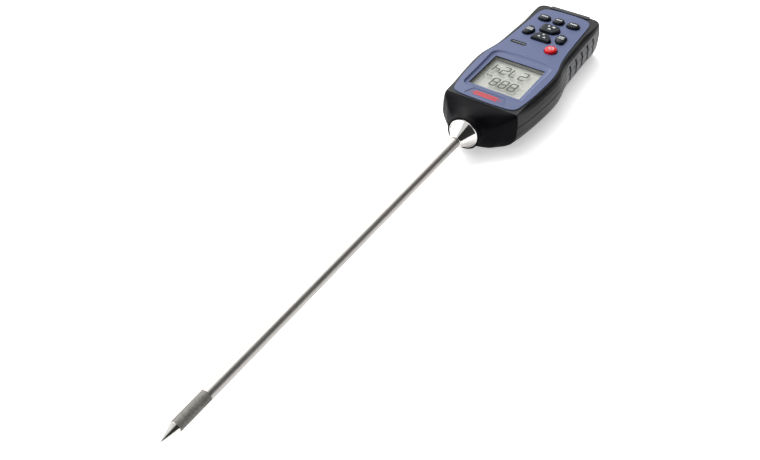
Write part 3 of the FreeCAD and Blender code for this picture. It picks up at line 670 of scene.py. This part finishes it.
# ------------------------------------------------------------------ faceplate
PLATE = [(0.0, 39.0), (12.0, 39.3), (20.0, 39.9), (24.2, 41.3), (26.3, 44.0),
         (27.4, 48.6), (28.4, 55.5), (29.3, 63.5), (30.0, 73.0), (30.5, 84.0),
         (30.6, 93.0), (30.1, 101.0), (28.9, 108.5), (27.3, 115.5),
         (26.1, 123.0), (25.1, 133.0), (24.4, 145.0), (23.8, 157.0),
         (23.3, 168.0), (22.9, 176.5), (22.0, 182.3), (19.6, 186.4),
         (15.0, 188.5), (8.0, 189.4), (0.0, 189.7)]
WX, WY0, WY1 = 21.3, 56.95, 101.4
plate_out = catmull(mirror(PLATE), 6, closed=True)
DISH = [(0.0, 52.5), (14.0, 52.5), (22.6, 52.9), (24.3, 55.6), (24.6, 62.0), (24.8, 74.0), (25.2, 88.0), (25.6, 99.0),
        (25.3, 103.6), (23.4, 106.6), (19.0, 108.4), (12.0, 109.4), (0.0, 109.9)]
dish_out = resample(catmull(mirror(DISH), 8, closed=True), 160)
KEYS = {
    "key_up": ([(-9.6, 154.4), (-7.6, 151.2), (3.2, 151.2), (6.8, 155.6),
                (6.8, 158.2), (4.2, 163.3), (-7.6, 163.3), (-9.6, 160.6)], 1.4),
    "key_down": ([(-9.9, 137.2), (6.6, 137.2), (6.9, 140.6), (4.0, 145.6),
                  (0.4, 148.3), (-5.2, 148.3), (-9.3, 144.6)], 1.2),
    "key_left": ([(-19.6, 142.6), (-17.2, 140.6), (-13.8, 141.4), (-11.4, 145.4),
                  (-11.4, 149.8), (-13.6, 153.4), (-17.0, 154.4), (-19.3, 151.4)], 1.2),
    "key_right": ([(16.6, 142.8), (14.8, 140.8), (11.4, 141.4), (8.6, 145.2),
                   (7.9, 149.4), (9.4, 153.6), (12.6, 154.4), (16.3, 151.6)], 1.2),
}
ROUND_KEYS = {
    "key_power": (12.5, 128.8, 5.0, 5.4, 2.0),
    "key_row_left": (-13.4, 171.9, 5.2, 4.3, 2.5),
    "key_row_mid": (-0.9, 172.4, 4.6, 4.6, 2.4),
    "key_row_right": (12.0, 172.4, 5.4, 4.3, 2.5),
}


def superellipse(cx, cy, a, b, p, n=72):
    out = []
    for i in range(n):
        t = 2 * math.pi * i / n
        c, s = math.cos(t), math.sin(t)
        out.append((cx + a * math.copysign(abs(c) ** (2 / p), c), cy + b * math.copysign(abs(s) ** (2 / p), s)))
    return np.array(out)


outlines = {}
for nm, (pts, r) in KEYS.items():
    outlines[nm] = resample(rounded(pts, r + 0.5, 8), 96)
for nm, sp in ROUND_KEYS.items():
    outlines[nm] = resample(superellipse(*sp), 96)
LABEL = [(-17.2, 41.6), (17.2, 41.6), (13.2, 50.8), (-13.2, 50.8)]
label_out = rounded(LABEL, 1.4, 5)
INL = rounded([(-21.4, 124.6), (-7.9, 124.6), (-7.9, 128.7), (-21.4, 128.7)], 1.9, 7)
holes = [inset(o, -0.36) for o in outlines.values()] + [inset(dish_out, 0.0), label_out, inset(INL, -0.10)]
sheet("plate_sheet", [plate_out] + holes, 29.62, 31.0, 0.30, M["plate"], "case", "faceplate")

# dished surround of the window: soft shoulder, long slope, wall down to the lens
win = rounded([(-WX, WY0), (WX, WY0), (WX, WY1), (-WX, WY1)], 0.9, 4)


def to_window(p, grow=0.0):
    """Closest point of the window's edge to each point of the dish outline."""
    w = WX - 0.02 + grow
    a, b = WY0 + 0.02 - grow, WY1 - 0.02 + grow
    out = []
    for x, y in p:
        out.append((max(-w, min(w, x)), max(a, min(b, y))))
    return np.array(out)


inner_w = to_window(dish_out)
rings = [lift(inset(dish_out, 0.02), 29.66), lift(inset(dish_out, 0.02), 30.72)]
for t, z in ((0.03, 30.86), (0.07, 30.76), (0.14, 30.48), (0.24, 30.16), (0.36, 29.94), (0.52, 29.80), (0.70, 29.73), (0.88, 29.71), (0.95, 29.70)):
    rings.append(lift(inset(dish_out, 0.02) * (1 - t) + inner_w * t, z))
rings.append(lift(inner_w, 29.66))
rings.append(lift(inner_w, 29.40))
rings.append(lift(inset(dish_out, 0.02) * 0.1 + inner_w * 0.9, 29.40))
nR = len(rings)
nP = len(rings[0])
v = [p for r in rings for p in r]
f = []
for i_ in range(nR):
    for j_ in range(nP):
        a_ = i_ * nP + j_
        b_ = i_ * nP + (j_ + 1) % nP
        c_ = ((i_ + 1) % nR) * nP + (j_ + 1) % nP
        d_ = ((i_ + 1) % nR) * nP + j_
        f.append((a_, b_, c_, d_))
make("plate_dish", v, f, M["plate"], "case", 34.0, True, "faceplate")
# black ring round the lens rim, a dark sheet put in as painted shade for the recessed window wall
e_in, e_out = to_window(dish_out, -0.25), to_window(dish_out, 0.55)
rings = [lift(e_out, 28.82), lift(e_out, 29.38), lift(e_in, 29.38), lift(e_in, 28.82)]
nR, nP = 4, len(rings[0])
v = [p for r in rings for p in r]
f = [(a * nP + b, a * nP + (b + 1) % nP, ((a + 1) % nR) * nP + (b + 1) % nP, ((a + 1) % nR) * nP + b) for a in range(nR) for b in range(nP)]
make("window_wall_shade_ring", v, f, M["seal"], "case", 34.0, True, "faceplate")
sheet("plate_label_field", [inset(label_out, 0.12)], 29.9, 30.74, 0.12, M["label"], "case", "faceplate")

# inlay beside the power key: dark pill, generic bars
pill = inset(INL, 0.05)
sheet("inlay_pill", [pill], 30.5, 31.08, 0.10, M["inlay"], "case", "label_inlay")


def bar(x0, x1, y0, y1, z0, z1, skew=0.0):
    a = [(x0, y0), (x1, y0), (x1 + skew, y1), (x0 + skew, y1)]
    return a


def group_prisms(name, polys, z0, z1, mat, body, replaces):
    """Several small flat marks as one object."""
    v, f = [], []
    for poly in polys:
        p = np.asarray(poly, float)
        if area2(p) < 0:
            p = p[::-1]
        n = len(p)
        o = len(v)
        v += [(x, y, z0) for x, y in p] + [(x, y, z1) for x, y in p]
        f.append(tuple(o + n + i for i in range(n)))
        f.append(tuple(o + n - 1 - i for i in range(n)))
        f += [(o + i, o + (i + 1) % n, o + n + (i + 1) % n, o + n + i) for i in range(n)]
    return make(name, v, f, mat, body, 30.0, False, replaces)


bars = []
x = -19.6
for w_ in (1.5, 0.9, 1.2, 1.6, 0.9, 1.3, 1.0):
    bars.append(bar(x, x + w_, 126.1, 127.2, 0, 0, 0.15))
    x += w_ + 0.42
group_prisms("inlay_bars", bars, 31.02, 31.095, M["pale_ink"], "case", "label_inlay")

# grain ear in the label field, the maker's word left out
seeds = []


def leaf(cx, cy, a, b, ang, n=18):
    out = []
    for i in range(n):
        t = 2 * math.pi * i / n
        u, w = a * math.cos(t), b * math.sin(t) * (0.55 + 0.45 * math.cos(t / 2.0) ** 2)
        out.append((cx + u * math.cos(ang) - w * math.sin(ang), cy + u * math.sin(ang) + w * math.cos(ang)))
    return out


for i in range(9):
    xc = -9.6 + 2.15 * i
    seeds.append(leaf(xc, 46.2 + 1.45, 1.75, 0.95, math.radians(34)))
    seeds.append(leaf(xc, 46.2 - 1.45, 1.75, 0.95, math.radians(-34)))
seeds.append(leaf(10.6, 46.2, 1.5, 0.6, 0.0))
seeds.append([(-13.4, 46.0), (9.4, 45.98), (9.4, 46.42), (-13.4, 46.5)])
group_prisms("plate_grain_ear", seeds, 30.6, 30.80, M["red_ink"], "case", "faceplate")

# ------------------------------------------------------------------ display
for nd, mt in (("lcd_panel", "lcd"), ("display_lens", "lens")):
    NODES[nd].data.materials.clear()
    NODES[nd].data.materials.append(M[mt])
SEG = {"0": "abcdef", "1": "bc", "2": "abged", "3": "abgcd", "4": "fgbc", "5": "afgcd", "6": "afgedc", "7": "abc",
       "8": "abcdefg", "9": "abcdfg"}


def digit(ch, cx, cy, w, h, t, slant):
    """Seven-segment figure; up is towards the probe, right is -x."""
    g = 0.05
    hw, hh = w / 2, h / 2

    def hseg(v0):
        return [(-hw + t * 0.30 + g, v0), (-hw + t * 0.8 + g, v0 + t / 2), (hw - t * 0.8 - g, v0 + t / 2),
                (hw - t * 0.30 - g, v0), (hw - t * 0.8 - g, v0 - t / 2), (-hw + t * 0.8 + g, v0 - t / 2)]

    def vseg(u0, v0, v1):
        return [(u0, v0 + g), (u0 + t / 2, v0 + g + t * 0.5), (u0 + t / 2, v1 - g - t * 0.5), (u0, v1 - g),
                (u0 - t / 2, v1 - g - t * 0.5), (u0 - t / 2, v0 + g + t * 0.5)]
    segs = {"a": hseg(hh), "g": hseg(0), "d": hseg(-hh), "b": vseg(hw - t / 2, 0, hh), "f": vseg(-hw + t / 2, 0, hh),
            "c": vseg(hw - t / 2, -hh, 0), "e": vseg(-hw + t / 2, -hh, 0)}
    out = []
    for s in SEG[ch]:
        out.append([(cx - (u + v_ * slant), cy - v_) for u, v_ in segs[s]])
    return out


seg_polys = []
for ch, cx in (("2", 9.6), ("7", 1.9), ("2", -5.8), ("4", -12.9)):
    seg_polys += digit(ch, cx, 88.0, 5.9, 10.4, 1.15, 0.07)
for ch, cx in (("8", 9.2), ("8", 1.7), ("8", -5.8)):
    seg_polys += digit(ch, cx, 70.3, 6.0, 10.2, 1.20, 0.07)
seg_polys.append([(-9.7, 82.6), (-8.8, 82.6), (-8.8, 83.5), (-9.7, 83.5)])
seg_polys.append([(-2.4, 65.1), (-1.5, 65.1), (-1.5, 66.0), (-2.4, 66.0)])
group_prisms("lcd_figures", seg_polys, 27.96, 28.02, M["segment"], "case", "lcd_panel")
small = []
for x0, y0, w_, h_ in ((-15.6, 75.2, 1.3, 2.0), (-13.8, 75.2, 0.9, 2.0), (-12.5, 75.2, 1.4, 2.0), (-19.8, 74.6, 0.9, 1.4),
                       (-18.6, 74.6, 1.2, 1.4), (-19.6, 90.6, 1.6, 1.0), (-19.6, 92.2, 1.6, 1.0), (-18.9, 69.0, 1.1, 1.1),
                       (-18.9, 66.0, 1.1, 1.1), (-18.9, 84.0, 1.1, 1.1), (-18.9, 80.5, 1.1, 1.1)):
    small.append([(x0, y0), (x0 + w_, y0), (x0 + w_, y0 + h_), (x0, y0 + h_)])
group_prisms("lcd_signs", small, 27.96, 28.015, M["segment_soft"], "case", "lcd_panel")

# ------------------------------------------------------------------ keys
ZK = 33.40
for nm, o in outlines.items():
    rings = []
    for z, d in ((26.25, -0.50), (27.05, -0.50), (27.10, 0.0), (31.9, 0.05), (32.35, 0.16), (32.70, 0.38), (32.98, 0.72),
                 (33.16, 1.15), (33.28, 1.70), (33.36, 2.3)):
        rings.append(lift(inset(o, d), z))
    c = np.mean(o, axis=0)
    loft(nm + "_cap", rings, M["key_red"] if nm == "key_power" else M["key"], nm,
         nm, 46.0, centre1=(float(c[0]), float(c[1]), ZK))
    NODES[nm].data.materials.clear()
    NODES[nm].data.materials.append(M["key_red"] if nm == "key_power" else M["key"])


def tri(cx, cy, w, h):
    return [(cx - w / 2, cy), (cx + w / 2, cy), (cx, cy + h)]


def rects(cx, cy, ws, h, gap=0.45):
    tot = sum(ws) + gap * (len(ws) - 1)
    x0 = cx - tot / 2
    out = []
    for w_ in ws:
        out.append([(x0, cy - h / 2), (x0 + w_, cy - h / 2), (x0 + w_, cy + h / 2), (x0, cy + h / 2)])
        x0 += w_ + gap
    return out


marks = {
    "key_left": rects(-15.2, 148.7, [0.9, 1.3, 0.9, 1.1], 1.25, 0.3) + rects(-15.2, 146.5, [1.2, 0.8, 1.4, 0.7], 1.25, 0.3),
    "key_right": rects(12.4, 148.9, [1.3, 1.4, 1.1], 1.3, 0.35) + rects(12.4, 146.7, [0.9, 1.0, 1.3, 0.8], 1.2, 0.3),
    "key_up": rects(-3.6, 159.2, [1.5], 1.7) + rects(0.6, 159.2, [2.2], 1.9) + [tri(-1.6, 154.4, 3.0, 2.3)],
    "key_down": [tri(-1.6, 145.4, 2.6, -1.9), tri(-4.0, 140.2, 2.4, 2.0), tri(0.6, 140.2, 2.4, 2.0)],
    "key_row_left": rects(-13.4, 171.9, [1.0, 1.2, 1.0, 1.2], 1.5, 0.3),
    "key_row_mid": rects(-0.9, 172.4, [0.9, 1.0, 0.9, 1.0], 1.5, 0.3),
    "key_row_right": rects(12.0, 172.4, [1.2, 1.0, 1.2, 1.3], 1.5, 0.3),
}
for nm, polys in marks.items():
    group_prisms(nm + "_marks", polys, 33.20, 33.43, M["white_ink"], nm, nm)
ring_o, ring_i = [], []
px, py = 12.5, 128.9
polys = []
NA = 20
for i in range(NA):
    a0 = math.radians(-90 + 38 + (284.0 * i / NA))
    a1 = math.radians(-90 + 38 + (284.0 * (i + 1) / NA))
    polys.append([(px + 1.45 * math.cos(a0), py + 1.45 * math.sin(a0)), (px + 1.45 * math.cos(a1), py + 1.45 * math.sin(a1)),
                  (px + 2.1 * math.cos(a1), py + 2.1 * math.sin(a1)), (px + 2.1 * math.cos(a0), py + 2.1 * math.sin(a0))])
polys.append([(px - 0.32, py - 2.4), (px + 0.32, py - 2.4), (px + 0.32, py - 0.2), (px - 0.32, py - 0.2)])
group_prisms("key_power_sign", polys, 33.10, 33.45, M["white_ink"], "key_power", "key_power")

# ------------------------------------------------------------------ front cap
def ring15(r, n=15):
    return [(r * math.cos(math.radians(-90 + 180.0 * i / (n - 1))), ZA + r * math.sin(math.radians(-90 + 180.0 * i / (n - 1)))) for i in range(n)]


CAP = [
    (36.98, [(0, 0.0), (11, 0.0), (20.5, 0.0), (22.6, 0.5), (25.1, 1.8), (27.8, 4.2), (29.8, 7.5), (30.8, 11.0), (31.0, 19.5), (30.8, 23.0), (30.4, 26.5), (29.9, 28.6), (29.0, 30.1), (14, 30.3), (0, 30.3)]),
    (34.6, [(0, 0.0), (10.5, 0.0), (19.3, 0.05), (21.3, 0.6), (23.8, 1.9), (26.3, 4.3), (28.1, 7.6), (29.0, 11.2), (29.3, 19.0), (29.2, 22.8), (28.9, 26.4), (28.3, 28.3), (26.6, 29.7), (13.4, 30.25), (0, 30.25)]),
    (30.8, [(0, 0.0), (9, 0.1), (16.6, 0.4), (18.6, 1.2), (20.9, 2.8), (23.0, 5.2), (24.5, 8.4), (25.3, 12.0), (25.6, 17.8), (25.4, 22.0), (25.0, 25.4), (24.0, 27.0), (20.7, 28.2), (11.8, 29.7), (0, 30.15)]),
    (26.5, [(0, 0.3), (7.5, 0.5), (13.5, 1.3), (15.8, 2.3), (18.0, 4.2), (19.8, 6.8), (21.0, 9.6), (21.6, 13.0), (21.7, 17.5), (21.4, 21.3), (20.7, 23.7), (19.0, 25.0), (15.2, 26.6), (9.2, 29.0), (0, 30.05)]),
    (22.5, [(0, 1.9), (5, 2.2), (9.2, 3.3), (11.2, 4.6), (13.2, 6.5), (14.8, 8.8), (15.8, 11.2), (16.2, 14.0), (16.4, 17.4), (16.1, 20.0), (15.3, 21.9), (14.0, 23.5), (11.8, 25.6), (7.2, 28.8), (0, 30.1)]),
    (19.0, [(0, 4.4), (3.8, 4.9), (7.0, 6.6), (8.7, 8.2), (10.2, 9.9), (11.3, 11.7), (12.1, 13.8), (12.5, 15.8), (12.6, 17.9), (12.3, 19.9), (11.7, 21.9), (10.7, 23.9), (8.9, 26.1), (5.1, 28.9), (0, 30.15)]),
    (16.0, ring15(12.65)),
    (13.3, ring15(12.9)),
]


def section_ring(half, per=5):
    pts = list(half) + [(-x, z) for x, z in reversed(half[1:-1])]
    return catmull(pts, per, closed=True)


base = [np.array([(x, y, z) for x, z in section_ring(h)]) for y, h in CAP]
cols = np.stack(base, axis=1)               # ring point, station, xyz
cols = np.stack([catmull(c, 6) for c in cols], axis=0)
outer = [cols[:, i] for i in range(cols.shape[1])]
for r_ in outer:
    r_[:, 2] = np.maximum(r_[:, 2], 0.0)
    r_[:, 1] = np.clip(r_[:, 1], 12.7, 36.98)


def circle_like(r, y):
    """Circle round the probe whose points line up with the outline's points."""
    ang = np.arctan2(base[-1][:, 2] - ZA, base[-1][:, 0])
    return np.stack([r * np.cos(ang), np.full(len(ang), y), ZA + r * np.sin(ang)], axis=1)


def shrink(r_, d):
    c = np.array([0.0, 0.0, 15.4])
    o = r_.copy()
    v_ = o - c
    v_[:, 1] = 0
    L = np.linalg.norm(v_, axis=1)[:, None]
    o -= v_ / L * d
    return o


back = [shrink(outer[i], 2.6) for i in range(0, 13, 2)]
seq = []
seq += [shrink(outer[0], 0.25)]
seq += [outer[0] + np.array([0, -0.25, 0])]
seq += outer[2:]
seq += [circle_like(13.05, 12.95), circle_like(12.85, 12.72), circle_like(12.0, 12.70), circle_like(11.72, 12.85), circle_like(11.70, 13.38), circle_like(7.1, 13.38), circle_like(7.1, 25.0)]
rear_in = []
for b_ in reversed(back):
    b_ = b_.copy()
    b_[:, 1] = np.maximum(b_[:, 1], 25.0)
    rear_in.append(b_)
seq += rear_in
seq[-1][:, 1] = outer[0][:, 1]
nR, nP = len(seq), len(seq[0])
v = [tuple(p) for r_ in seq for p in r_]
f = []
for i_ in range(nR):
    for j_ in range(nP):
        f.append((i_ * nP + j_, i_ * nP + (j_ + 1) % nP, ((i_ + 1) % nR) * nP + (j_ + 1) % nP, ((i_ + 1) % nR) * nP + j_))
make("cap_shell", v, f, M["cap"], "case", 38.0, True, "front_cap")

# ------------------------------------------------------------------ ferrule: ring, cone, bright rim
prof = [(3.82, 0.02), (4.55, 0.02), (4.85, 0.14), (4.98, 0.40), (4.98, 0.95), (4.86, 1.12), (4.80, 1.22)]
for t in (0.0, 0.04, 0.12, 0.25, 0.4, 0.55, 0.7, 0.85, 0.97, 1.0):
    prof.append((4.82 + (10.98 - 4.82) * (t * 0.82 + 0.18 * t * t), 1.3 + (12.25 - 1.3) * t))
prof += [(11.03, 12.27), (11.30, 12.36), (11.48, 12.50), (11.56, 12.68), (11.58, 12.90), (11.58, 13.36), (7.02, 13.38),
         (6.98, 13.42), (6.98, 29.48), (3.82, 29.48)]
v, f = revolve_y(prof, 128)
make("ferrule_cone", v, f, M["ferrule"], "case", 26.0, True, "probe_ferrule")

# ------------------------------------------------------------------ porous cap and point
F0, F1 = -265.5, -289.3
prof = [(3.0, F0), (3.78, F0), (3.90, F0 - 0.12), (3.90, F1 + 0.10), (3.82, F1 + 0.02), (3.0, F1 + 0.02)]
prof = prof[:3] + [(3.90 + 0.02 * math.sin(i * 2.1), F0 - 0.5 - i * 0.55) for i in range(42)] + prof[3:]
v, f = revolve_y(prof, 96)
make("filter_sleeve", v, f, M["filter"], "sensor_cap", 34.0, True, "sintered_filter")
L = 10.9
prof = [(0.0005, F1 - L + 0.06), (0.16, F1 - L + 0.10), (0.30, F1 - L + 0.24), (0.42, F1 - L + 0.52)]
prof += [(0.42 + (3.80 - 0.42) * t, F1 - L + 0.52 + (L - 0.72) * t) for t in (0.1, 0.25, 0.4, 0.55, 0.7, 0.85, 0.97)]
prof += [(3.86, F1 - 0.16), (3.88, F1 - 0.04), (3.86, F1), (2.98, F1), (2.98, F1 + 2.98), (0.0005, F1 + 2.98)]
v, f = revolve_y(prof, 96)
make("point_cone", v, f, M["tip"], "sensor_cap", 30.0, True, "probe_tip")

# ------------------------------------------------------------------ CAD nodes that stay
KEEP = {
    "top_shell": "case", "bottom_shell": "case", "front_cap": "cap", "battery_door": "case",
    "grip_upper_left": "grip", "grip_lower_left": "grip", "grip_upper_right": "grip", "grip_lower_right": "grip",
    "port_flap": "flap", "faceplate": "plate", "label_inlay": "inlay", "probe_ferrule": "ferrule",
    "probe_tube": "tube", "probe_tip": "tip", "case_screws": "screw", "sintered_filter": "filter",
    "lcd_panel": "lcd", "display_lens": "lens", "lcd_frame": "white_part", "backlight_panel": "white_part",
    "zebra_connectors": "elastomer", "main_board": "board", "key_mat": "mat", "dome_switches": "dome",
    "controller_chip": "chip", "small_components": "chip", "buzzer": "chip", "usb_socket": "usb",
    "board_header": "connector", "lead_plug": "connector", "battery": "battery", "battery_tray": "bay",
    "battery_snap": "bay", "sealing_ring": "seal", "probe_nut": "brass", "sensor_carrier": "carrier",
    "sensor_board": "board", "sensor_element": "film", "sensor_lead": "lead",
}
for node, mat in KEEP.items():
    me = NODES[node].data
    me.materials.clear()
    me.materials.append(M[mat])
